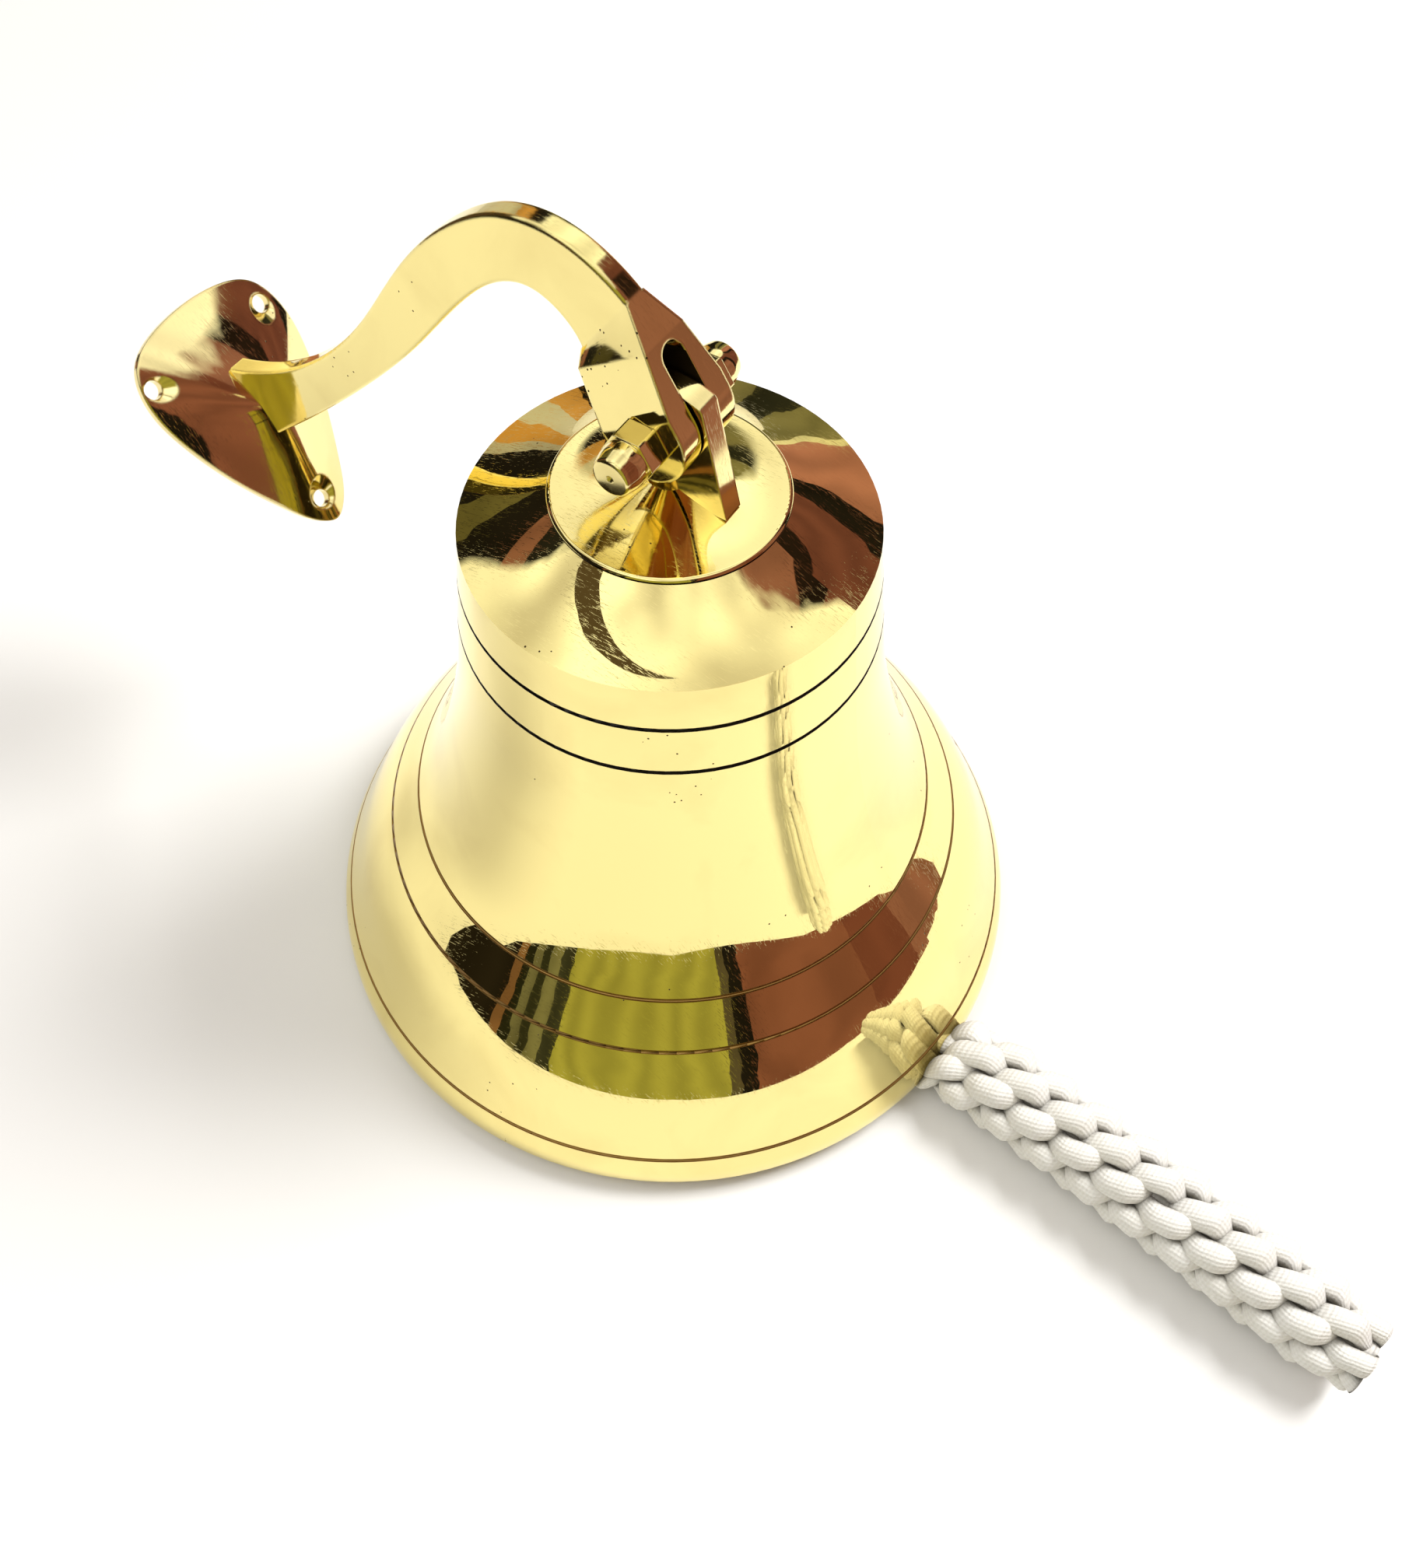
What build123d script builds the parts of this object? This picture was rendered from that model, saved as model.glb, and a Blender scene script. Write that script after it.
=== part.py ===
"""An eight-inch brass ship's bell, stood on its mouth, with its folded-down wall bracket and its lanyard.

The bell, its crown, the clapper's staple and the lanyard make the body that stands. The bracket turns on
the pivot bolt, and the clapper swings on the staple's pin. Millimetres, +Z up, the origin on the surface
the bell stands on, under the middle of its mouth. The arm reaches towards -X, the bolt lies along Y.
"""
from math import cos, radians, sin, tan
import os
from build123d import *

os.makedirs("parts", exist_ok=True)

# Bell, in its own upright frame: its axis is Z and its mouth is the plane z = 0
MOUTH_RADIUS = 101.6
REST_RADIUS = 100.0  # outermost circle of the lip's flat foot
FOOT_INNER_RADIUS = 94.0
WAIST_WALL = 5.0
SHOULDER_RADIUS = 47.4
SHOULDER_Z = 156.2
CAP_RADIUS = 26.9
CAP_SEAT_Z = 165.5
CROWN_WALL = 5.0
LINES = ((98.5, 10.4), (80.5, 43.1), (71.3, 55.1), (50.5, 130.4), (48.7, 144.2))  # turned lines: radius, z
LINE_WIDTH = 0.9
LINE_DEPTH = 0.45

# How the bell stands: on its lip at -X, and on the lanyard's neck at +X
LEAN = 1.65

# Crown
CAP_STEP = 1.1
CAP_TOP_Z = 172.6
LUG_THICKNESS = 5.6
LUG_TOP_HALF = 9.7
LUG_FOOT_HALF = 16.2
LUG_FOOT_Z = 167.8
LUG_SHOULDER = 8.3  # above the bolt's axis
LUG_CROWN = 10.2
STUD_RADIUS = 5.0
STUD_END_Z = 143.0
WASHER_RADIUS = 12.0
WASHER = 1.6
CROWN_NUT_FLATS = 17.0
CROWN_NUT = 8.0

# Pivot
BOLT_Z = 186.5
BOLT_RADIUS = 4.0
RUNNING = 0.05  # radial clearance of what turns
FORK_HALF = 9.4
NUT_FLATS = 11.0
NUT_HEX = 5.8
NUT_LENGTH = 11.7
NOSE_RADIUS = 5.2
NOSE_FACE_RADIUS = 3.8
NOSE_ROUNDING = 4.0  # length over which the nose rounds off
NUT_END_WALL = 3.6
PUNCH_MARK = 0.8
NEAR_NUT_TURN = 27

# Bracket, in the side view it has on the wall: u from the bolt towards the wall, v up from the bolt
FOLD = 33.5  # how far it hangs below that pose
ARM_THICKNESS = 5.6
ARM_ROUNDING = 0.8
SLOT_WIDTH = 6.6
SLOT_TOP = 16.0
FORK_FRONT = -10.3
FORK_BACK = 9.7
FORK_END_RADIUS = 9.6
SHOULDER_V = 17.0
SHOULDER_HALF = 6.4
TAPER_V = 4.0
WALL_U = 152.4
PLATE_EDGE = 2.0
PLATE_CROWN = 12.6
PLATE_MIDDLE_V = 17.0
PLATE_OUTLINE = (  # half of the shield: sideways, up
    (0, 49.2), (12.5, 47.9), (20.8, 43.8), (24.5, 35.6), (23.3, 22.0), (18.4, 7.5), (11.0, -7.5), (3.6, -17.4)
)
PLATE_TIP_V = -19.0
PLATE_ASIDE = 0.9  # how far the shield's outline sits to one side of its holes
HOLE_RADIUS = 2.4
HOLE_WALL = 2.6  # depth of the plain bore; a countersink opens above it
PLATE_WALL = 3.2
POCKET_SHARE = 0.72  # of the outline, in the hollow back
SINK = 8.0
HOLES = ((-20.1, 37.8), (20.1, 37.8), (0, -11.5))

# Clapper and its staple, in the bell's frame; it swings on a pin along X
PIVOT_Z = 131.0
PIN_RADIUS = 2.5
EAR_GAP = 6.0
EAR_THICKNESS = 3.0
EAR_WIDTH = 14.0
STAPLE_TOP_Z = 150.4
STAPLE_BOSS_RADIUS = 8.0
STAPLE_BOSS = 9.4
RIVET_HEAD = 1.2
EYE_RADIUS = 6.4
EYE_THICKNESS = 5.2
BALL_Z = 34.0
BALL_RADIUS = 16.0
BALL_COLLAR = 5.0
ROD_RADIUS = 3.6
TAIL_Z = 13.2
TAIL_RADIUS = 6.0
TAIL_THICKNESS = 4.4
TAIL_HOLE_RADIUS = 3.6
TAIL_ROD_RADIUS = 2.55

# Lanyard: eight braided cotton cords. Two flattened cords of it pass under the lip, then the round braid
NECK_DIAMETER = 5.5
NECK_SPREAD = 3.0
BRAID_DIAMETER = 27.0
LANYARD_TURN = -6.4  # its direction, from +X
LOOP_DIAMETER = 4.6
NECK_ROUTE = (  # along, z, sideways
    (15.5, 15.4, 0), (30, 12.2, 0), (44, 5.4, 0), (60, 2.76, 0), (82, 2.78, 0.5), (104.6, 2.8, 0)
)
BRAID_ROUTE = ((105.0, 13.6, 0), (147, 13.55, 0.6), (190, 13.6, 0.3), (233.4, 13.55, -0.6))

LEANING = Pos(-REST_RADIUS, 0, 0) * Rot(0, -LEAN, 0) * Pos(REST_RADIUS, 0, 0)
SIDE = Plane(origin=(0, 0, BOLT_Z), x_dir=(-1, 0, 0), z_dir=(0, 1, 0))  # u, v; its normal is the bolt's axis
FOLDING = Pos(0, 0, BOLT_Z) * Rot(0, -FOLD, 0) * Pos(0, 0, -BOLT_Z)
NODES = {}


def keep(name, solid, folded=False):
    """Stand a piece the way the bell stands, and remember it as one node."""
    placed = LEANING * FOLDING * solid if folded else LEANING * solid
    solids = placed.solids()
    NODES[name] = solids[0] if len(solids) == 1 else Compound(solids)


def disc(radius, height, z, x=0, y=0):
    return Pos(x, y, z) * Cylinder(radius, height, align=(Align.CENTER, Align.CENTER, Align.MIN))


def rod_along(axis, radius, length, x=0, y=0, z=0):
    """A cylinder along X or Y, centred on a point."""
    turn = Rot(0, 90, 0) if axis == "X" else Rot(90, 0, 0)
    return Pos(x, y, z) * turn * Cylinder(radius, length)


# Bell shell: a turned casting, with a concave waist, a convex sound bow and a hollow shoulder
LIP_LINE, BOW_LINE, WAIST_LINE = LINES[0], LINES[1], LINES[2]
outside = Spline(
    (MOUTH_RADIUS, 1.6), LIP_LINE, (90.5, 27.5), BOW_LINE, WAIST_LINE, (61.8, 75.5), (54.6, 102.0),
    LINES[3], tangents=((0, 1), (-0.12, 1)),
)
band = Line(LINES[3], (SHOULDER_RADIUS, SHOULDER_Z))
shoulder = ThreePointArc(
    (SHOULDER_RADIUS, SHOULDER_Z), (37.0, 160.1), (CAP_RADIUS, CAP_SEAT_Z)
)
top = Line((CAP_RADIUS, CAP_SEAT_Z), (0, CAP_SEAT_Z))
middle = Line((0, CAP_SEAT_Z), (0, CAP_SEAT_Z - CROWN_WALL))
ceiling = Line((0, CAP_SEAT_Z - CROWN_WALL), (25.0, CAP_SEAT_Z - CROWN_WALL))
hollow = ThreePointArc(
    (25.0, CAP_SEAT_Z - CROWN_WALL), (37.5, 155.2), (SHOULDER_RADIUS - WAIST_WALL, 146.0)
)
inside = Spline(
    (SHOULDER_RADIUS - WAIST_WALL, 146.0), (LINES[3][0] - WAIST_WALL, 128.0), (49.8, 100.0),
    (56.0, 74.5), (64.4, 54.0), (73.0, 40.0), (81.5, 27.0), (89.8, 11.5), (FOOT_INNER_RADIUS, 0),
    tangents=((0.05, -1), (0.5, -1)),
)
foot = Line((FOOT_INNER_RADIUS, 0), (REST_RADIUS, 0))
corner = ThreePointArc((REST_RADIUS, 0), (REST_RADIUS + 1.13, 0.47), (MOUTH_RADIUS, 1.6))
section = make_face([outside, band, shoulder, top, middle, ceiling, hollow, inside, foot, corner])
shell = revolve(Plane.XZ * section, Axis.Z)
for radius, z in LINES:
    shell -= Pos(0, 0, z) * Torus(radius + LINE_WIDTH / 2 - LINE_DEPTH, LINE_WIDTH / 2)
shell -= disc(STUD_RADIUS + RUNNING, 20, CAP_SEAT_Z - 10)
keep("bell_shell", shell)

# Crown: a domed cap on the shell, a lug let into it, whose stud is drawn up by a nut inside the bell
cap_rise = CAP_TOP_Z - CAP_SEAT_Z - CAP_STEP
cap_edge = CAP_RADIUS - CAP_STEP
dome_radius = (cap_edge**2 + cap_rise**2) / (2 * cap_rise)
cap_section = make_face([
    Line((0, CAP_SEAT_Z), (CAP_RADIUS, CAP_SEAT_Z)),
    ThreePointArc(
        (CAP_RADIUS, CAP_SEAT_Z), (CAP_RADIUS - 0.3, CAP_SEAT_Z + 0.8), (cap_edge, CAP_SEAT_Z + CAP_STEP)
    ),
    RadiusArc((cap_edge, CAP_SEAT_Z + CAP_STEP), (0, CAP_TOP_Z), dome_radius),
    Line((0, CAP_TOP_Z), (0, CAP_SEAT_Z)),
])
cap = revolve(Plane.XZ * cap_section, Axis.Z)
lug_profile = make_face([
    Polyline(
        (-LUG_TOP_HALF, LUG_SHOULDER), (-LUG_FOOT_HALF, LUG_FOOT_Z - BOLT_Z),
        (LUG_FOOT_HALF, LUG_FOOT_Z - BOLT_Z), (LUG_TOP_HALF, LUG_SHOULDER),
    ),
    ThreePointArc((LUG_TOP_HALF, LUG_SHOULDER), (0, LUG_CROWN), (-LUG_TOP_HALF, LUG_SHOULDER)),
])
lug = extrude(SIDE * lug_profile, LUG_THICKNESS / 2, both=True)
cap -= lug
cap -= disc(STUD_RADIUS + RUNNING, 20, CAP_SEAT_Z - 10)
keep("crown_cap", cap)
lug = chamfer(lug.edges().filter_by(Axis.Y).sort_by(Axis.Z)[-2:], 0.5)
lug += disc(STUD_RADIUS, LUG_FOOT_Z - STUD_END_Z, STUD_END_Z)
lug -= rod_along("Y", BOLT_RADIUS + RUNNING, 2 * FORK_HALF, z=BOLT_Z)
keep("crown_lug", lug)

ceiling_z = CAP_SEAT_Z - CROWN_WALL
washer_z = ceiling_z - WASHER
keep("crown_washer", disc(WASHER_RADIUS, WASHER, washer_z) - disc(STUD_RADIUS + RUNNING, WASHER, washer_z))
nut_z = washer_z - CROWN_NUT
crown_nut = extrude(RegularPolygon(CROWN_NUT_FLATS / 2, 6, major_radius=False), CROWN_NUT)
keep("crown_nut", Pos(0, 0, nut_z) * crown_nut - disc(STUD_RADIUS + RUNNING, CROWN_NUT, nut_z))

# Clapper staple: a clevis screwed up the end of the stud, with a riveted pin along X
staple_outer = EAR_GAP + 2 * EAR_THICKNESS
ears_height = STAPLE_TOP_Z - 2 - PIVOT_Z
staple = disc(STAPLE_BOSS_RADIUS, STAPLE_BOSS, STAPLE_TOP_Z - STAPLE_BOSS)
staple += Pos(0, 0, PIVOT_Z + ears_height / 2) * Box(staple_outer, EAR_WIDTH, ears_height)
staple += rod_along("X", EAR_WIDTH / 2, staple_outer, z=PIVOT_Z)
gap_height = 30
staple -= Pos(0, 0, STAPLE_TOP_Z - STAPLE_BOSS - gap_height / 2) * Box(EAR_GAP, 2 * EAR_WIDTH, gap_height)
staple -= disc(STUD_RADIUS + RUNNING, STAPLE_BOSS, STUD_END_Z - 0.5)
staple -= rod_along("X", PIN_RADIUS, 2 * staple_outer, z=PIVOT_Z)
keep("clapper_staple", staple)
pin_length = staple_outer + 1.0
pin = rod_along("X", PIN_RADIUS, pin_length, z=PIVOT_Z)
for side in (-1, 1):
    head_x = side * (pin_length / 2 + 0.1)
    pin += rod_along("X", PIN_RADIUS + RIVET_HEAD, RIVET_HEAD, x=head_x, z=PIVOT_Z)
keep("clapper_pin", pin)

# Clapper: an eye on the pin, a rod, a turned ball, and a tail with the lanyard's eye
rod_top = PIVOT_Z - 11.0
clapper_rod = rod_along("X", EYE_RADIUS, EYE_THICKNESS, z=PIVOT_Z)
clapper_rod += disc(ROD_RADIUS - 1.0, PIVOT_Z - 3 - rod_top, rod_top)
clapper_rod += disc(ROD_RADIUS, rod_top - BALL_Z, BALL_Z)
clapper_rod -= rod_along("X", PIN_RADIUS + RUNNING, 4 * EYE_THICKNESS, z=PIVOT_Z)
tail = disc(TAIL_ROD_RADIUS, BALL_Z - TAIL_Z - 2.0, TAIL_Z + 2.0)
tail += rod_along("Y", TAIL_RADIUS, TAIL_THICKNESS, z=TAIL_Z)
tail -= rod_along("Y", TAIL_HOLE_RADIUS, 2 * TAIL_THICKNESS, z=TAIL_Z)
keep("clapper_rod", clapper_rod + tail)
ball_top = BALL_Z + BALL_RADIUS + BALL_COLLAR
collar_radius = ROD_RADIUS + 1.0
ball_section = make_face([
    Line((0, BALL_Z - BALL_RADIUS), (0, ball_top)),
    Line((0, ball_top), (collar_radius, ball_top)),
    Spline(
        (collar_radius, ball_top), (0.6 * BALL_RADIUS, BALL_Z + 0.85 * BALL_RADIUS), (BALL_RADIUS, BALL_Z),
        (0.59 * BALL_RADIUS, BALL_Z - 0.81 * BALL_RADIUS), (0, BALL_Z - BALL_RADIUS),
        tangents=((0.1, -1), (-1, 0)),
    ),
])
ball = revolve(Plane.XZ * ball_section, Axis.Z)
ball -= disc(ROD_RADIUS + RUNNING, ball_top - BALL_Z + 1, BALL_Z - RUNNING)
ball -= disc(TAIL_ROD_RADIUS + RUNNING, 2 * BALL_RADIUS, BALL_Z - BALL_RADIUS - 2)
keep("clapper_ball", ball)

# Bracket: the pivot bolt and its two round-nosed nuts
bolt_length = 2 * (FORK_HALF + NUT_LENGTH - NUT_END_WALL - 0.2)
keep("pivot_bolt", rod_along("Y", BOLT_RADIUS, bolt_length, z=BOLT_Z), folded=True)
nut_section = make_face([
    Line((0, 0), (NOSE_RADIUS, 0)),
    Line((NOSE_RADIUS, 0), (NOSE_RADIUS, NUT_LENGTH - NOSE_ROUNDING)),
    Spline(
        (NOSE_RADIUS, NUT_LENGTH - NOSE_ROUNDING), (NOSE_RADIUS - 0.5, NUT_LENGTH - 1.3),
        (NOSE_FACE_RADIUS, NUT_LENGTH), tangents=((0, 1), (-1, 0.2)),
    ),
    Line((NOSE_FACE_RADIUS, NUT_LENGTH), (PUNCH_MARK, NUT_LENGTH)),
    Line((PUNCH_MARK, NUT_LENGTH), (0, NUT_LENGTH - PUNCH_MARK)),
    Line((0, NUT_LENGTH - PUNCH_MARK), (0, 0)),
])
nut = revolve(Plane.XZ * nut_section, Axis.Z)
hexagon = extrude(RegularPolygon(NUT_FLATS / 2, 6, major_radius=False), NUT_HEX)
hexagon = hexagon & disc(NUT_FLATS / 2 + 0.7, NUT_HEX, 0)
nut += hexagon
nut -= disc(BOLT_RADIUS + RUNNING, NUT_LENGTH - NUT_END_WALL, 0)
keep("near_cap_nut", Pos(0, -FORK_HALF, BOLT_Z) * Rot(90, 0, 0) * Rot(0, 0, NEAR_NUT_TURN) * nut, folded=True)
keep("far_cap_nut", Pos(0, FORK_HALF, BOLT_Z) * Rot(-90, 0, 0) * Rot(0, 0, 30) * nut, folded=True)

# Wall plate: a hollow-backed shield, drawn in the wall's plane (sideways, up) and domed towards the bell
WALL = Plane(origin=(-WALL_U, 0, BOLT_Z), x_dir=(0, 1, 0), z_dir=(1, 0, 0))


def shield(scale, height):
    """The plate's outline, shrunk about its middle, at a height above the wall."""
    half = [(x * scale, PLATE_MIDDLE_V + (v - PLATE_MIDDLE_V) * scale) for x, v in PLATE_OUTLINE]
    tip = (0, PLATE_MIDDLE_V + (PLATE_TIP_V - PLATE_MIDDLE_V) * scale)
    left = [(-x, v) for x, v in reversed(half[1:])]
    outline = Spline(half + [tip] + left, periodic=True)
    return WALL.offset(height) * Pos(PLATE_ASIDE, 0) * make_face(outline)


def dome(steps, thickness):
    """A pillow through shrinking outlines, that much lower than the plate's front."""
    rise = PLATE_CROWN - PLATE_EDGE
    return loft([shield(step, PLATE_EDGE + rise * (1 - step**1.3) - thickness) for step in steps])


plate_solid = extrude(shield(1, 0), PLATE_EDGE) + dome((1, 0.88, 0.72, 0.5, 0.28, 0.1), 0)
pocket = dome((POCKET_SHARE, 0.5, 0.28, 0.1), PLATE_WALL) + extrude(shield(POCKET_SHARE, -1), PLATE_EDGE + 1)
plate = plate_solid
for sideways, up in HOLES:
    place = Pos(-WALL_U, sideways, BOLT_Z + up) * Rot(0, 90, 0)
    countersink = Cone(HOLE_RADIUS, HOLE_RADIUS + SINK, SINK, align=(Align.CENTER, Align.CENTER, Align.MIN))
    hole = Cylinder(HOLE_RADIUS, 40) + Pos(0, 0, HOLE_WALL) * countersink
    plate -= place * hole
keep("wall_plate", plate - pocket, folded=True)

# Bracket arm: a flat gooseneck casting that thickens into a slotted fork, brazed to the plate
neck_front, neck_back = (-8.6, 26.4), (10.2, 19.4)
upper = Spline(
    neck_front, (-5.0, 35.0), (1.6, 43.2), (12.6, 49.0), (26.0, 50.0), (50.6, 44.7), (77.0, 34.7),
    (97.3, 29.6), (118.0, 28.0), (WALL_U - 10, 31.6),
)
lower = Spline(
    neck_back, (10.9, 27.2), (15.4, 33.7), (23.6, 36.1), (34.0, 34.9), (60.0, 27.1), (84.0, 21.0),
    (112.0, 15.6), (WALL_U - 10, 11.2),
)
bar_profile = make_face([
    upper, lower, Line(neck_front, neck_back), Line((WALL_U - 10, 31.6), (WALL_U - 10, 11.2))
])
bar = extrude(SIDE * bar_profile, ARM_THICKNESS / 2, both=True)
long_edges = [edge for edge in bar.edges() if edge.length > 100]
bar = fillet(long_edges, ARM_ROUNDING)
fork_profile = make_face([
    Polyline((FORK_FRONT, 0), (FORK_FRONT, SHOULDER_V), (FORK_BACK, SHOULDER_V), (FORK_BACK, 0)),
    ThreePointArc((FORK_BACK, 0), ((FORK_FRONT + FORK_BACK) / 2, -FORK_END_RADIUS), (FORK_FRONT, 0)),
])
fork = extrude(SIDE * fork_profile, FORK_HALF, both=True)
front_profile = Polyline(
    (-FORK_HALF, -12), (FORK_HALF, -12), (FORK_HALF, TAPER_V), (SHOULDER_HALF, SHOULDER_V),
    (-SHOULDER_HALF, SHOULDER_V), (-FORK_HALF, TAPER_V), close=True,
)
FRONT = Plane(origin=(0, 0, BOLT_Z), x_dir=(0, 1, 0), z_dir=(1, 0, 0))
fork = fork & extrude(FRONT * make_face(front_profile), 30, both=True)
neck_width = neck_back[0] - neck_front[0]
neck_slope = (neck_back[1] - neck_front[1]) / neck_width
bottom = Plane(origin=(0, 0, BOLT_Z + SHOULDER_V), x_dir=(-1, 0, 0), z_dir=(0, 0, 1)) * Pos(
    (FORK_FRONT + FORK_BACK) / 2, 0
) * Rectangle(FORK_BACK - FORK_FRONT, 2 * SHOULDER_HALF)
neck_middle = ((neck_front[0] + neck_back[0]) / 2, (neck_front[1] + neck_back[1]) / 2)
neck_plane = Plane(
    origin=(-neck_middle[0], 0, BOLT_Z + neck_middle[1]), x_dir=(-1, 0, neck_slope), z_dir=(neck_slope, 0, 1)
)
neck_length = neck_width * (1 + neck_slope**2) ** 0.5
neck = loft([bottom, neck_plane * Rectangle(neck_length, ARM_THICKNESS)], ruled=True)
arm = fork + neck + bar
slot_arch = SLOT_TOP - SLOT_WIDTH / 2
slot = Pos(0, 0, BOLT_Z + slot_arch - 20) * Box(60, SLOT_WIDTH, 40)
slot += rod_along("X", SLOT_WIDTH / 2, 60, z=BOLT_Z + slot_arch)
arm -= slot
arm -= rod_along("Y", BOLT_RADIUS + RUNNING, 40, z=BOLT_Z)
arm -= plate_solid
keep("bracket_arm", arm, folded=True)


def lanyard_point(along, z, sideways):
    """A point of the lanyard's route, which lies in its own direction on the floor."""
    turn = radians(LANYARD_TURN)
    return (along * cos(turn) - sideways * sin(turn), along * sin(turn) + sideways * cos(turn), z)


def cord_tube(name, route, sideways, diameter):
    """A plain tube along straight runs that tangent arcs join."""
    points = [Vector(*lanyard_point(along, z, side + sideways)) for along, z, side in route]
    radii = []
    for before, here, after in zip(points, points[1:], points[2:]):
        run = min((here - before).length, (after - here).length)
        half_turn = radians((here - before).get_angle(after - here)) / 2
        radii.append(round(0.45 * run / tan(half_turn), 1))
    line = FilletPolyline(points, radius=radii)
    print(name, "length", round(line.length, 1), "bend radii", radii)
    end = Plane(origin=line @ 0, z_dir=line % 0)
    NODES[name] = sweep(end * Circle(diameter / 2), path=line).solid()


# Lanyard: a loop through the clapper's tail, two cords under the lip, and the braid on the floor
cord_tube("lanyard_neck_left", NECK_ROUTE, NECK_SPREAD, NECK_DIAMETER)
cord_tube("lanyard_neck_right", NECK_ROUTE, -NECK_SPREAD, NECK_DIAMETER)
cord_tube("lanyard_braid", BRAID_ROUTE, 0, BRAID_DIAMETER)

LOOP_REACH = 11.0
LOOP_HALF = 4.8
loop_line = Polyline((LOOP_REACH, LOOP_HALF, TAIL_Z), (LOOP_HALF, LOOP_HALF, TAIL_Z)) + ThreePointArc(
    (LOOP_HALF, LOOP_HALF, TAIL_Z), (0, 0, TAIL_Z), (LOOP_HALF, -LOOP_HALF, TAIL_Z)
) + Line((LOOP_HALF, -LOOP_HALF, TAIL_Z), (LOOP_REACH, -LOOP_HALF, TAIL_Z))
loop_start = Plane(origin=loop_line @ 0, z_dir=loop_line % 0)
keep("lanyard_loop", sweep(loop_start * Circle(LOOP_DIAMETER / 2), path=loop_line))

for name, solid in NODES.items():
    export_step(solid, f"parts/{name}.step")
    box = solid.bounding_box()
    print(name, "volume", round(solid.volume), "from", box.min, "to", box.max)
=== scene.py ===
"""A polished brass ship's bell on a pale table, with its bracket folded down and its cotton lanyard."""
from math import cos, pi, radians, sin
import random
import bpy
from mathutils import Matrix, Vector


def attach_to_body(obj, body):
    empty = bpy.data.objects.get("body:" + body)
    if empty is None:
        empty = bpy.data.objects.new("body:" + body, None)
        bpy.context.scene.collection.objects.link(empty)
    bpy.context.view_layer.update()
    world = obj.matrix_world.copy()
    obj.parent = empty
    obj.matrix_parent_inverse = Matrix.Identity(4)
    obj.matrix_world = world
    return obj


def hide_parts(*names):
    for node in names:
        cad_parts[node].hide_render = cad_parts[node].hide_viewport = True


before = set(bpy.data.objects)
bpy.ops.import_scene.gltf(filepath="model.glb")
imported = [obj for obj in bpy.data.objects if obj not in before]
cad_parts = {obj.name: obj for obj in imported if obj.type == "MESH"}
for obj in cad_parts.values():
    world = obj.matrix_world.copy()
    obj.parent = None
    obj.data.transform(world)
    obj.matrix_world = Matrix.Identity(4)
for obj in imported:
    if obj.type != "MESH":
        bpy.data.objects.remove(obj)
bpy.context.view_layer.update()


# --- Camera: it looks steeply down on the crown from in front of the bell, with the lanyard to the right.
# The eye is about 400 mm above the table. The lens takes in the plate's edge and the lanyard's end.
EYE = (0.11185, -0.18197, 0.39990)
FORWARD = (-0.25331, 0.45683, -0.85272)
UPWARD = (-0.47792, 0.70729, 0.52089)
FOCAL_LENGTH = 32.86  # mm, on a 36 mm sensor
forward = Vector(FORWARD).normalized()
upward = Vector(UPWARD)
sideways = forward.cross(upward).normalized()
camera_data = bpy.data.cameras.new("camera")
camera_data.lens = FOCAL_LENGTH
camera_data.sensor_width = 36.0
camera = bpy.data.objects.new("camera", camera_data)
axes = Matrix((sideways, sideways.cross(forward), -forward)).transposed()
camera.matrix_world = Matrix.Translation(EYE) @ axes.to_4x4()
bpy.context.collection.objects.link(camera)
bpy.context.scene.camera = camera


# --- Lanyard: a thick sinnet of white cotton sash cord, crowned round and round over a core. Its cords show
# as rounded lobes in eight columns, each lobe rising from under the one before and diving under the next.
# Inside the bell and under the lip it is pressed flat; outside it swells to its full round thickness.
LANYARD_DIRECTION = radians(-6.4)
LANYARD_ROUTE = (  # along, up, to its left
    (0.0155, 0.0154, 0), (0.030, 0.0122, 0), (0.044, 0.0054, 0), (0.060, 0.00276, 0),
    (0.082, 0.00278, 0.0005), (0.098, 0.0032, 0), (0.107, 0.0118, 0), (0.119, 0.01355, 0.0001),
    (0.147, 0.01355, 0.0006), (0.190, 0.0136, 0.0003), (0.2334, 0.01355, -0.0006),
)
SINNET_RADIUS = 0.0135
CORD_RADIUS = 0.0037
COLUMNS = 8
LOBE_PITCH = 0.0139
LOBE_HALF = 0.0100  # half of a lobe's length, so that lobes overlap
LOBE_TILT = 0.33  # radians round the sinnet, from a lobe's middle to its end
LOBE_INSET = 1.08  # of the cord's radius: how far a lobe's middle line lies inside the sinnet's surface
LOBE_WIDTH = 1.06  # of a lobe's height
CORE_INSET = 1.9  # of the cord's radius
COVER_PITCH = 0.0011  # of the cord's own braided cover


def new_object(name, vertices, faces, coordinates=None):
    """A smooth-shaded mesh object, with texture coordinates for each vertex where they are given."""
    mesh = bpy.data.meshes.new(name)
    mesh.from_pydata([tuple(v) for v in vertices], [], faces)
    mesh.shade_smooth()
    if coordinates:
        layer = mesh.uv_layers.new(name="along_and_round")
        for face in mesh.polygons:  # a face that closes a ring carries its coordinates on past 1
            uvs = [coordinates[mesh.loops[i].vertex_index] for i in face.loop_indices]
            seam = len(uvs) == 4 and max(v for u, v in uvs) > 0.75 > 0.25 > min(v for u, v in uvs)
            for i, (u, v) in zip(face.loop_indices, uvs):
                layer.data[i].uv = (u, v + 1) if seam and v < 0.5 else (u, v)
    piece = bpy.data.objects.new(name, mesh)
    bpy.context.collection.objects.link(piece)
    return piece


def between(stops, at):
    """A value read off (place, value) stops, eased from one to the next."""
    if at <= stops[0][0]:
        return stops[0][1]
    for (a, low), (b, high) in zip(stops, stops[1:]):
        if at <= b:
            t = (at - a) / (b - a)
            return low + (high - low) * t * t * (3 - 2 * t)
    return stops[-1][1]


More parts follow.
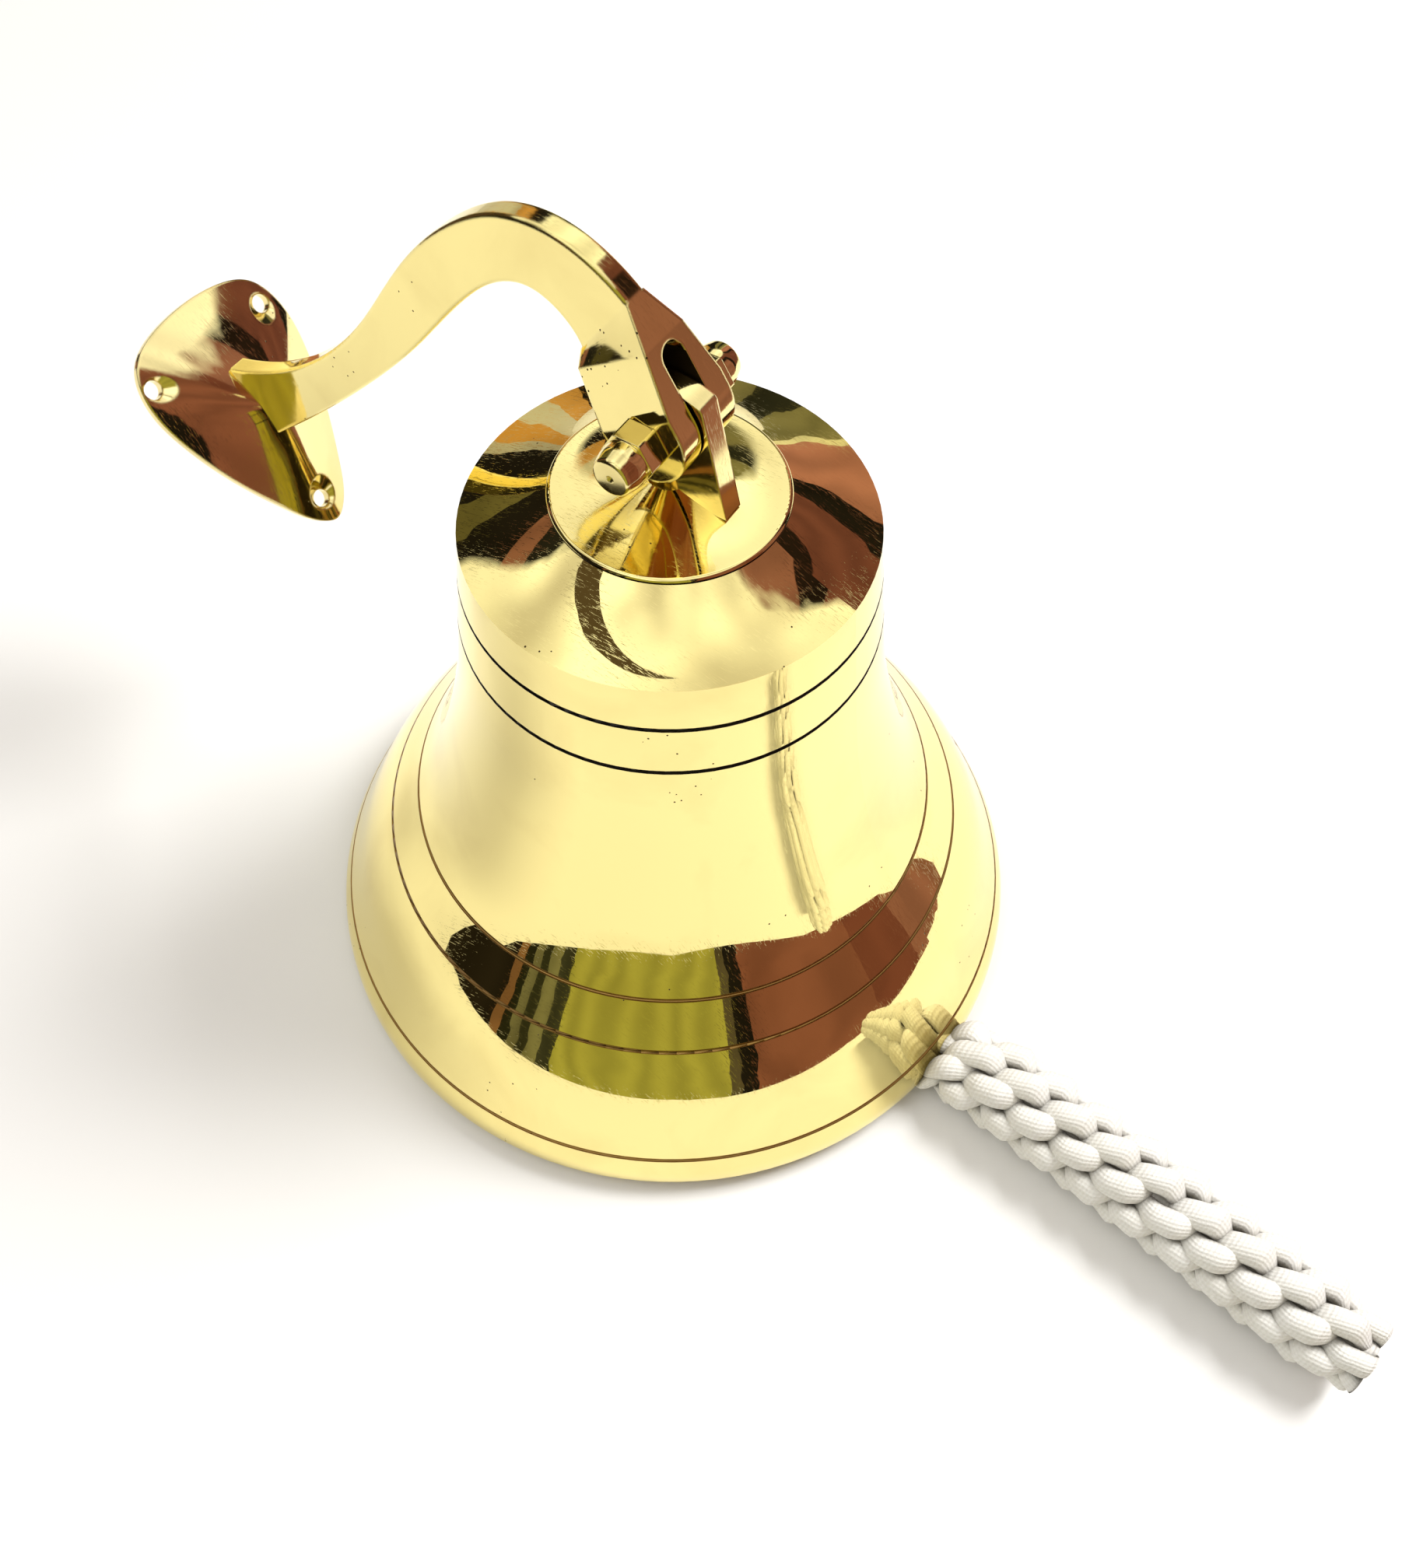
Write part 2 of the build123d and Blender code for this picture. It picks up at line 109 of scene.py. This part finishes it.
def lanyard_point(along, up, left):
    along_way = Vector((cos(LANYARD_DIRECTION), sin(LANYARD_DIRECTION), 0))
    left_way = Vector((-sin(LANYARD_DIRECTION), cos(LANYARD_DIRECTION), 0))
    return along_way * along + left_way * left + Vector((0, 0, up))


def smooth_line(points):
    """The points along a NURBS line that has these control points."""
    curve = bpy.data.curves.new("route", "CURVE")
    curve.dimensions = "3D"
    spline = curve.splines.new("NURBS")
    spline.points.add(len(points) - 1)
    for control, point in zip(spline.points, points):
        control.co = (*point, 1)
    spline.order_u = 3
    spline.use_endpoint_u = True
    spline.resolution_u = 24
    holder = bpy.data.objects.new("route", curve)
    bpy.context.collection.objects.link(holder)
    mesh = bpy.data.meshes.new_from_object(holder)
    line = [v.co.copy() for v in mesh.vertices]
    bpy.data.objects.remove(holder)
    return line


lanyard_line = smooth_line([lanyard_point(*p) for p in LANYARD_ROUTE])
distances = [0.0]
for here, there in zip(lanyard_line, lanyard_line[1:]):
    distances.append(distances[-1] + (there - here).length)
lanyard_length = distances[-1]
lip_at = 0.088  # how far along the line the bell's lip stands over it
wide_stops = ((0, 0.45), (0.03, 0.5), (lip_at - 0.02, 0.82), (lip_at, 0.95), (lip_at + 0.008, 1.0),
              (lanyard_length - 0.016, 1.0), (lanyard_length, 0.80))
high_stops = ((0, 0.20), (0.03, 0.20), (lip_at - 0.004, 0.19), (lip_at + 0.010, 0.86), (lip_at + 0.018, 1.0),
              (lanyard_length - 0.016, 1.0), (lanyard_length, 0.84))
rise_stops = ((-1.0, -0.0070), (-0.15, -0.0004), (0.35, 0.0003), (1.0, -0.0050))  # of a lobe's middle line
size_stops = ((-1.0, 0.85), (-0.3, 0.98), (0.4, 1.08), (1.0, 1.04))


def on_line(at):
    """The place, direction and leftward and upward directions at a distance along the lanyard."""
    at = min(max(at, 0.0), lanyard_length)
    index = next((i for i in range(1, len(distances)) if distances[i] >= at), len(distances) - 1)
    a, b = lanyard_line[index - 1], lanyard_line[index]
    share = (at - distances[index - 1]) / max(distances[index] - distances[index - 1], 1e-9)
    direction = (b - a).normalized()
    left = Vector((0, 0, 1)).cross(direction).normalized()
    return a.lerp(b, share), direction, left, direction.cross(left)


def placed(at, across, above):
    """A point of the sinnet, squashed as it is there."""
    at = min(max(at, 0.0), lanyard_length)
    place, direction, left, up = on_line(at)
    return place + left * across * between(wide_stops, at) + up * above * between(high_stops, at)


def sinnet_mesh():
    """The core and every lobe of the sinnet as one mesh."""
    vertices, faces, coordinates = [], [], []
    steps, ring = 18, 16

    def tube(rings, uvs):
        base = len(vertices)
        for points, uv in zip(rings, uvs):
            vertices.extend(points)
            coordinates.extend(uv)
        for i in range(1, len(rings)):
            for j in range(ring):
                k = (j + 1) % ring
                a, b = base + (i - 1) * ring, base + i * ring
                faces.append((a + j, a + k, b + k, b + j))
        last = base + (len(rings) - 1) * ring
        faces.append(tuple(base + j for j in reversed(range(ring))))
        faces.append(tuple(last + j for j in range(ring)))

    core_radius = SINNET_RADIUS - CORE_INSET * CORD_RADIUS
    core_stops = [i * lanyard_length / 60 for i in range(61)]
    tube(
        [[placed(s, core_radius * cos(2 * pi * j / ring), core_radius * sin(2 * pi * j / ring))
          for j in range(ring)] for s in core_stops],
        [[(s, j / ring) for j in range(ring)] for s in core_stops],
    )
    chance = random.Random(4)
    rows = int(lanyard_length / LOBE_PITCH) + 2
    for column in range(COLUMNS):
        for row in range(-1, rows):
            middle = (row + 0.5 * (column % 2) + 0.15) * LOBE_PITCH + chance.uniform(-0.0006, 0.0006)
            turn = 2 * pi * column / COLUMNS + chance.uniform(-0.05, 0.05)
            girth = CORD_RADIUS * chance.uniform(0.95, 1.04)
            if middle < -0.2 * LOBE_PITCH or middle > lanyard_length + 0.15 * LOBE_PITCH:
                continue
            rings, uvs = [], []
            for i in range(steps + 1):
                t = -cos(pi * i / steps)
                s = middle + t * LOBE_HALF
                angle = turn - LOBE_TILT * t
                radius = SINNET_RADIUS - LOBE_INSET * girth + between(rise_stops, t)
                blunt = girth * between(size_stops, t) * max(1 - abs(t) ** 5, 0.02) ** 0.5
                points = []
                for j in range(ring):
                    around = 2 * pi * j / ring
                    r = radius + blunt * cos(around)
                    side = blunt * LOBE_WIDTH * sin(around)
                    across = r * cos(angle) - side * sin(angle)
                    above = r * sin(angle) + side * cos(angle)
                    points.append(placed(s, across, above))
                rings.append(points)
                uvs.append([(s + row * 0.01, j / ring) for j in range(ring)])
            tube(rings, uvs)
    return vertices, faces, coordinates


lanyard = new_object("lanyard", *sinnet_mesh())
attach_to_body(lanyard, "bell")
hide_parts("lanyard_neck_left", "lanyard_neck_right", "lanyard_braid")


def adder(tree):
    """A function that adds a node to a tree, with its settings and its inputs."""
    def add(kind, settings, *inputs):
        node = tree.nodes.new("ShaderNode" + kind)
        for key, value in settings.items():
            setattr(node, key, value)
        for key, value in inputs:
            if isinstance(value, bpy.types.NodeSocket):
                tree.links.new(value, node.inputs[key])
            else:
                node.inputs[key].default_value = value
        return node

    return add


def new_material(name):
    """A new material, its shader and the function that adds nodes to it."""
    material = bpy.data.materials.new(name)
    material.use_nodes = True
    return material, material.node_tree.nodes["Principled BSDF"], adder(material.node_tree)


def maths(add, operation, *values):
    """One arithmetic node's result, kept between 0 and 1 where the operation ends in !"""
    settings = {"operation": operation.rstrip("!"), "use_clamp": operation.endswith("!")}
    return add("Math", settings, *enumerate(values)).outputs[0]


def mix(add, share, low, high):
    """A colour between two, by a share."""
    node = add("Mix", {"data_type": "RGBA"}, (0, share), (6, low), (7, high))
    return node.outputs[2]


def attach(shader, name, socket):
    shader.id_data.links.new(socket, shader.inputs[name])


def paint(material, *nodes):
    """Give CAD nodes a material."""
    for node in nodes:
        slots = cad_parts[node].data.materials
        slots.clear()
        slots.append(material)


CLEAN_COTTON = (0.93, 0.92, 0.88, 1)
SOILED_COTTON = (0.87, 0.85, 0.78, 1)
# Painted shade: the colour that the grooves of the cord's woven cover are darkened towards.
PAINTED_WEAVE_SHADE = (0.60, 0.56, 0.47, 1)
# Painted shade: the colour that the crevices between the lobes are darkened towards.
PAINTED_CREVICE_SHADE = (0.13, 0.11, 0.075, 1)
cotton, shader, add = new_material("white_cotton")
shader.inputs["Roughness"].default_value = 0.92
shader.inputs["Sheen Weight"].default_value = 0.3
shader.inputs["Sheen Roughness"].default_value = 0.5
spot = add("TexCoord", {}).outputs["Object"]
lie = add("UVMap", {"uv_map": "along_and_round"}).outputs["UV"]
split = add("SeparateXYZ", {}, (0, lie))
along = maths(add, "MULTIPLY", split.outputs["X"], 2 * pi / COVER_PITCH / 2)
round_it = maths(add, "MULTIPLY", split.outputs["Y"], 2 * pi * 10)
rising = maths(add, "SINE", maths(add, "ADD", along, round_it))
falling = maths(add, "SINE", maths(add, "SUBTRACT", along, round_it))
cover = maths(add, "ADD", maths(add, "MULTIPLY", maths(add, "MULTIPLY", rising, falling), 0.5), 0.5)
fuzz = add("TexNoise", {}, ("Vector", spot), ("Scale", 2600.0), ("Detail", 3.0)).outputs["Fac"]
grime = add("TexNoise", {}, ("Vector", spot), ("Scale", 70.0), ("Detail", 4.0)).outputs["Fac"]
soiled = maths(add, "MULTIPLY!", maths(add, "SUBTRACT", grime, 0.42), 2.2)
clean = mix(add, soiled, CLEAN_COTTON, SOILED_COTTON)
# Painted shade: the grooves of the woven cover, where its bump is lowest, are darker in the colour.
shade = mix(add, maths(add, "MULTIPLY!", cover, 0.30), clean, PAINTED_WEAVE_SHADE)
# Painted shade: ambient occlusion darkens the colour in the crevices between the lobes and down to the core.
open_air = add("AmbientOcclusion", {"samples": 8}, ("Distance", 0.006)).outputs["AO"]
out_of_crevice = add("MapRange", {}, (0, open_air), (1, 0.10), (2, 0.68)).outputs[0]
shade = mix(add, out_of_crevice, PAINTED_CREVICE_SHADE, shade)
attach(shader, "Base Color", shade)
nap = add("Bump", {}, ("Height", fuzz), ("Distance", 0.00022), ("Strength", 0.6)).outputs[0]
weave = add("Bump", {}, ("Height", maths(add, "SUBTRACT", 1.0, cover)), ("Distance", 0.00022),
            ("Strength", 0.9), ("Normal", nap))
attach(shader, "Normal", weave.outputs[0])
lanyard.data.materials.append(cotton)


# --- Lanyard's loop: the two cords that pass through the eye at the clapper's tail, made of the same cotton.
# It lies inside the bell. Its cover has no lengthwise coordinates, so its weave is a fine mottle.
loop_cotton, shader, add = new_material("loop_cotton")
shader.inputs["Roughness"].default_value = 0.92
shader.inputs["Sheen Weight"].default_value = 0.3
spot = add("TexCoord", {}).outputs["Object"]
cover = add("TexVoronoi", {}, ("Vector", spot), ("Scale", 900.0)).outputs["Distance"]
attach(shader, "Base Color", mix(add, cover, (0.88, 0.86, 0.79, 1), (0.70, 0.66, 0.56, 1)))
rough_weave = add("Bump", {}, ("Height", cover), ("Distance", 0.0002), ("Strength", 0.8))
attach(shader, "Normal", rough_weave.outputs[0])
paint(loop_cotton, "lanyard_loop")


# --- Bell shell: cast, turned and polished to a mirror, then lightly tarnished. Five lines are cut round it:
# the two on the shoulder band hold black wax, the three on the flare and the lip are bare and brown.
LEAN = radians(1.65)
REST_RADIUS = 0.100
BLACK_LINES = ((0.0505, 0.1304), (0.0487, 0.1442))  # radius, height
BROWN_LINES = ((0.0985, 0.0104), (0.0805, 0.0431), (0.0713, 0.0551))
LINE_REACH = 0.00062
BLACK_WAX = (0.015, 0.012, 0.008, 1)
BARE_GROOVE = (0.34, 0.20, 0.06, 1)
PIT = (0.10, 0.07, 0.03, 1)
DARK_SCALE = (0.03, 0.02, 0.01, 1)  # where brass was never polished


def brass(name, colour=(0.94, 0.81, 0.34, 1), stain=(0.78, 0.64, 0.25, 1), gloss=0.035, haze=0.10,
          wave=0.000014, pits=0.5, round_edges=0.0):
    """Polished brass with cloudy tarnish, faint waves, wiping scratches and a few casting pits."""
    material, shader, add = new_material(name)
    shader.inputs["Metallic"].default_value = 1.0
    spot = add("TexCoord", {}).outputs["Object"]
    cloud = add("TexNoise", {}, ("Vector", spot), ("Scale", 34.0), ("Detail", 5.0),
                ("Distortion", 0.6)).outputs["Fac"]
    cloudy = maths(add, "MULTIPLY!", maths(add, "SUBTRACT", cloud, 0.47), 3.2)
    speck = add("TexVoronoi", {}, ("Vector", spot), ("Scale", 900.0))
    cluster = add("TexNoise", {}, ("Vector", spot), ("Scale", 38.0), ("Detail", 1.0)).outputs["Fac"]
    rarity = maths(add, "MULTIPLY!", maths(add, "SUBTRACT", cluster, 0.60), 1.6 * pits)
    chosen = maths(add, "LESS_THAN", add("SeparateColor", {}, (0, speck.outputs["Color"])).outputs[0], rarity)
    pit = maths(add, "MULTIPLY", maths(add, "LESS_THAN", speck.outputs["Distance"], 0.22), chosen)
    scratch_spot = add("Mapping", {}, ("Vector", spot), ("Rotation", (0.3, 0.2, 0.9)), ("Scale", (1, 14, 1)))
    scratch = add("TexNoise", {}, ("Vector", scratch_spot.outputs[0]), ("Scale", 420.0),
                  ("Detail", 2.0)).outputs["Fac"]
    fine = maths(add, "MULTIPLY!", maths(add, "SUBTRACT", scratch, 0.60), 4.0)
    tone = mix(add, maths(add, "MULTIPLY!", cloudy, 0.60), colour, stain)
    tone = mix(add, pit, tone, PIT)
    rough = maths(add, "ADD", maths(add, "MULTIPLY", cloudy, haze), gloss)
    rough = maths(add, "ADD", rough, maths(add, "MULTIPLY", fine, 0.07))
    rough = maths(add, "ADD!", rough, maths(add, "MULTIPLY", pit, 0.5))
    swell = add("TexNoise", {}, ("Vector", spot), ("Scale", 48.0), ("Detail", 1.0)).outputs["Fac"]
    wavy = add("Bump", {}, ("Height", swell), ("Distance", wave), ("Strength", 1.0))
    if round_edges:
        edge = add("Bevel", {"samples": 6}, ("Radius", round_edges))
        shader.id_data.links.new(edge.outputs[0], wavy.inputs["Normal"])
    worn = add("Bump", {}, ("Height", maths(add, "SUBTRACT", fine, maths(add, "MULTIPLY", pit, 6.0))),
               ("Distance", 0.000006), ("Strength", 1.0), ("Normal", wavy.outputs[0]))
    attach(shader, "Normal", worn.outputs[0])
    return material, shader, add, spot, tone, rough


def upright_from(add, spot):
    """The place in the bell's own upright frame, before it leant on its lip."""
    shift = (REST_RADIUS * (cos(LEAN) - 1), 0, -REST_RADIUS * sin(LEAN))
    return add("Mapping", {}, ("Vector", spot), ("Rotation", (0, LEAN, 0)), ("Location", shift)).outputs[0]


def coat(material, shader, tone, rough, *nodes):
    """Set a brass's colour and roughness, and give it to CAD nodes."""
    attach(shader, "Base Color", tone)
    attach(shader, "Roughness", rough)
    paint(material, *nodes)


polished, shader, add, spot, tone, rough = brass("polished_bell", gloss=0.015, haze=0.035)
upright = upright_from(add, spot)
split = add("SeparateXYZ", {}, (0, upright))
out_from_axis = maths(add, "SQRT", maths(add, "ADD", maths(add, "POWER", split.outputs["X"], 2.0),
                                         maths(add, "POWER", split.outputs["Y"], 2.0)))


def near_line(radius, height, reach):
    """1 within a turned line, 0 elsewhere."""
    aside = maths(add, "POWER", maths(add, "SUBTRACT", out_from_axis, radius), 2.0)
    above = maths(add, "POWER", maths(add, "SUBTRACT", split.outputs["Z"], height), 2.0)
    return maths(add, "LESS_THAN", maths(add, "ADD", aside, above), reach**2)


for lines, wax in ((BLACK_LINES, BLACK_WAX), (BROWN_LINES, BARE_GROOVE)):
    for radius, height in lines:
        mask = near_line(radius, height, LINE_REACH)
        tone = mix(add, mask, tone, wax)
        rough = maths(add, "ADD!", rough, maths(add, "MULTIPLY", mask, 0.3))
coat(polished, shader, tone, rough, "bell_shell")


# --- Crown cap: a domed disc seated on the shoulder, polished with it and held down by the lug.
# It is hazier and more pitted than the bell, and a dark seam shows where its rim meets the shoulder.
CAP_SEAT = 0.1655
SEAM = 0.00045
cap_brass, shader, add, spot, tone, rough = brass("crown_cap_brass", gloss=0.02, haze=0.10, pits=1.0)
upright = upright_from(add, spot)
seam = maths(add, "LESS_THAN", add("SeparateXYZ", {}, (0, upright)).outputs["Z"], CAP_SEAT + SEAM)
tone = mix(add, seam, tone, DARK_SCALE)
coat(cap_brass, shader, tone, rough, "crown_cap")


# --- Crown lug: a flat tapering cast brass eye standing in the cap, less polished than the bell, with softened
# edges. A stud below it passes through the crown, and the bracket hinges on the bolt through its eye.
lug_brass, shader, add, spot, tone, rough = brass(
    "crown_lug_brass", colour=(0.93, 0.79, 0.36, 1), gloss=0.06, haze=0.18, pits=1.5, round_edges=0.0006)
coat(lug_brass, shader, tone, rough, "crown_lug")


# --- Bracket arm: a sand-cast gooseneck with a slotted fork, fettled, then mopped bright.
# Its flat sides are slightly wavy and carry a few small black casting pits. The slot is left rough and dark.
arm_brass, shader, add, spot, tone, rough = brass(
    "bracket_arm_brass", gloss=0.05, haze=0.10, wave=0.00003, pits=2.5, round_edges=0.0009)
BOLT = (-0.0054, 0, 0.1893)
SLOT_HALF = 0.00335
SLOT_REACH = 0.0158
off_bolt = add("VectorMath", {"operation": "SUBTRACT"}, (0, spot), (1, BOLT)).outputs[0]
split = add("SeparateXYZ", {}, (0, off_bolt))
from_bolt = maths(add, "SQRT", maths(add, "ADD", maths(add, "POWER", split.outputs["X"], 2.0),
                                     maths(add, "POWER", split.outputs["Z"], 2.0)))
between_cheeks = maths(add, "LESS_THAN", maths(add, "ABSOLUTE", split.outputs["Y"]), SLOT_HALF)
in_slot = maths(add, "MULTIPLY", between_cheeks, maths(add, "LESS_THAN", from_bolt, SLOT_REACH))
tone = mix(add, in_slot, tone, DARK_SCALE)
rough = maths(add, "ADD!", rough, maths(add, "MULTIPLY", in_slot, 0.6))
coat(arm_brass, shader, tone, rough, "bracket_arm")


# --- Wall plate: a cast brass shield with a soft domed face, mopped bright. It is one body with the arm's root
# and has three countersunk screw holes that fix it to a wall.
plate_brass, shader, add, spot, tone, rough = brass(
    "wall_plate_brass", colour=(0.94, 0.80, 0.38, 1), gloss=0.03, haze=0.08, wave=0.00004, round_edges=0.0010)
coat(plate_brass, shader, tone, rough, "wall_plate")


# --- Cap nuts: turned from hexagon brass bar, each with a round nose and a punched centre mark.
# One stands on each end of the pivot bolt, outside the fork.
nut_brass, shader, add, spot, tone, rough = brass(
    "cap_nut_brass", colour=(0.95, 0.82, 0.36, 1), gloss=0.06, haze=0.10, pits=1.0, round_edges=0.0004)
coat(nut_brass, shader, tone, rough, "near_cap_nut", "far_cap_nut")


# --- Pivot bolt: a plain brass rod through fork and lug, held by a nut on each end.
# It is duller and darker than the rest.
bolt_brass, shader, add, spot, tone, rough = brass(
    "pivot_bolt_brass", colour=(0.72, 0.55, 0.24, 1), stain=(0.40, 0.27, 0.10, 1), gloss=0.22, haze=0.25)
coat(bolt_brass, shader, tone, rough, "pivot_bolt")


# --- Inside the bell: the crown's washer and nut, the staple, its pin and the clapper, all left as machined
# or cast, browned by handling and never polished.
inner_brass, shader, add, spot, tone, rough = brass(
    "unpolished_brass", colour=(0.74, 0.57, 0.26, 1), stain=(0.42, 0.29, 0.12, 1), gloss=0.24, haze=0.30,
    wave=0.00006, pits=3.0, round_edges=0.0004)
coat(inner_brass, shader, tone, rough, "crown_washer", "crown_nut", "clapper_staple", "clapper_pin",
     "clapper_rod", "clapper_ball")


# --- Table: a sheet of white card, a little crumpled. Its front and right edges lie close to the bell, whose
# flare shows the dim room beyond them.
TABLE_EDGE = (
    (-0.79, -0.744, 0), (-0.05, -0.285, 0), (0.15, -0.232, 0), (0.285, -0.063, 0),
    (0.30, 1.2, 0), (-1.0, 1.2, 0),
)
table = new_object("table", TABLE_EDGE, [tuple(range(len(TABLE_EDGE)))])
card, shader, add = new_material("white_card")
shader.inputs["Roughness"].default_value = 0.85
spot = add("TexCoord", {}).outputs["Object"]
crumple = add("TexNoise", {}, ("Vector", spot), ("Scale", 7.0), ("Detail", 2.0)).outputs["Fac"]
attach(shader, "Base Color", mix(add, crumple, (0.93, 0.925, 0.90, 1), (0.88, 0.88, 0.87, 1)))
table.data.materials.append(card)


# --- Studio: a soft lamp up behind to the right, a weaker one to the left, a bright ceiling with a dark beam,
# and round the horizon the dim coloured room that polished brass shows: olive in front, dark reds beside.
def lamp(name, azimuth, height, distance, size, power):
    """A square soft lamp that faces the bell."""
    data = bpy.data.lights.new(name, "AREA")
    data.size = size
    data.energy = power
    lamp_object = bpy.data.objects.new(name, data)
    place = Vector((distance * cos(radians(azimuth)), distance * sin(radians(azimuth)), height))
    lamp_object.matrix_world = Matrix.Translation(place) @ place.to_track_quat("Z", "Y").to_matrix().to_4x4()
    lamp_object.visible_glossy = False
    bpy.context.collection.objects.link(lamp_object)


lamp("right_lamp", 52, 1.25, 1.0, 0.6, 23)
lamp("left_lamp", -130, 1.3, 1.0, 0.8, 6)

world = bpy.data.worlds.new("studio")
bpy.context.scene.world = world
world.use_nodes = True
tree = world.node_tree
add = adder(tree)

SHADE = (0.015, 0.012, 0.01)
ROOM = (  # azimuth in degrees at which each colour starts, colour
    (-180, (0.30, 0.13, 0.10)), (-174, (0.02, 0.018, 0.015)), (-162, (0.07, 0.06, 0.025)),
    (-150, (0.02, 0.015, 0.01)), (-112, (0.24, 0.12, 0.06)), (-109, (0.02, 0.02, 0.01)),
    (-106, (0.17, 0.16, 0.09)), (-103, (0.04, 0.04, 0.02)), (-100, (0.22, 0.21, 0.11)),
    (-96, (0.05, 0.05, 0.03)), (-92, (0.42, 0.40, 0.09)), (-42, (0.10, 0.08, 0.05)), (-38, SHADE),
    (-35, (0.27, 0.10, 0.075)), (5, (0.20, 0.065, 0.05)), (22, (0.33, 0.14, 0.12)),
    (50, (0.02, 0.012, 0.01)), (60, (0.20, 0.07, 0.06)), (78, SHADE), (85, (0.50, 0.21, 0.18)),
    (99, (0.9, 0.85, 0.6)), (101, (0.24, 0.22, 0.11)), (108, (0.03, 0.03, 0.02)), (113, (0.22, 0.20, 0.10)),
    (120, SHADE), (135, (0.66, 0.34, 0.10)), (139, (0.62, 0.58, 0.50)), (143, (0.62, 0.31, 0.08)),
    (147, (0.50, 0.46, 0.40)), (150, SHADE), (160, (0.15, 0.13, 0.05)), (166, SHADE),
)
LEDGE = (0.60, 0.64)  # heights between which the room gives way to the ceiling, as parts of 1 straight up
WALL_AZIMUTH = radians(15)  # where the room stands taller
WALL_RISE = 0.22
BEAM_AZIMUTH = radians(-139)
BEAM_HALF = 0.13
SWAY = 0.07  # radians that the bands wander
LEDGE_SWAY = 0.16
DIMMING = 0.20  # of the room's light on dull surfaces, which deepens their shadows
way = add("TexCoord", {}).outputs["Generated"]
folds = add("TexNoise", {}, ("Vector", way), ("Scale", 5.0), ("Detail", 2.0)).outputs["Fac"]
split = add("SeparateXYZ", {}, (0, way))
azimuth = maths(add, "ARCTAN2", split.outputs["Y"], split.outputs["X"])
swayed = maths(add, "ADD", azimuth, maths(add, "MULTIPLY", maths(add, "SUBTRACT", folds, 0.5), SWAY))
ramp = add("ValToRGB", {}, (0, maths(add, "ADD", maths(add, "DIVIDE", swayed, 2 * pi), 0.5)))
ramp.color_ramp.interpolation = "CONSTANT"
for stop, (start, colour) in enumerate(ROOM):
    element = ramp.color_ramp.elements[stop] if stop < 2 else ramp.color_ramp.elements.new(0.999)
    element.position = start / 360 + 0.5
    element.color = (*colour, 1)
creases = add("TexWave", {"bands_direction": "X"}, ("Vector", way), ("Scale", 2.0), ("Distortion", 7.0),
              ("Detail", 2.0)).outputs["Fac"]
room = mix(add, maths(add, "MULTIPLY", creases, 0.25), ramp.outputs["Color"], (0, 0, 0, 1))
ledge_sway = maths(add, "MULTIPLY", maths(add, "SUBTRACT", folds, 0.5), LEDGE_SWAY)
ledge = maths(add, "ADD", split.outputs["Z"], ledge_sway)
towards_wall = maths(add, "ADD", maths(add, "MULTIPLY", split.outputs["X"], cos(WALL_AZIMUTH)),
                     maths(add, "MULTIPLY", split.outputs["Y"], sin(WALL_AZIMUTH)))
tall = add("MapRange", {}, (0, towards_wall), (1, 0.25), (2, 0.45), (3, 0.0), (4, WALL_RISE)).outputs[0]
ledge = maths(add, "SUBTRACT", ledge, tall)
ceiling_share = add("MapRange", {}, (0, ledge), (1, LEDGE[0]), (2, LEDGE[1])).outputs[0]
glow = add("TexNoise", {}, ("Vector", way), ("Scale", 2.2), ("Detail", 1.0)).outputs["Fac"]
bright = maths(add, "MULTIPLY!", maths(add, "SUBTRACT", glow, 0.40), 4.0)
ceiling = mix(add, bright, (0.74, 0.70, 0.66, 1), (1.5, 1.5, 1.48, 1))
off_beam = maths(add, "ABSOLUTE", maths(add, "SUBTRACT", swayed, BEAM_AZIMUTH))
beam = maths(add, "LESS_THAN", off_beam, BEAM_HALF)
ceiling = mix(add, beam, ceiling, (0.10, 0.07, 0.04, 1))
around = mix(add, ceiling_share, room, ceiling)
camera_ray = add("LightPath", {}).outputs["Is Camera Ray"]
diffuse_ray = add("LightPath", {}).outputs["Is Diffuse Ray"]
dimmed = mix(add, maths(add, "MULTIPLY", diffuse_ray, DIMMING), around, (0, 0, 0, 1))
seen = mix(add, camera_ray, dimmed, (1, 1, 1, 1))
tree.links.new(seen, tree.nodes["Background"].inputs["Color"])
tree.nodes["Background"].inputs["Strength"].default_value = 1.0
bpy.context.scene.view_settings.view_transform = "Standard"
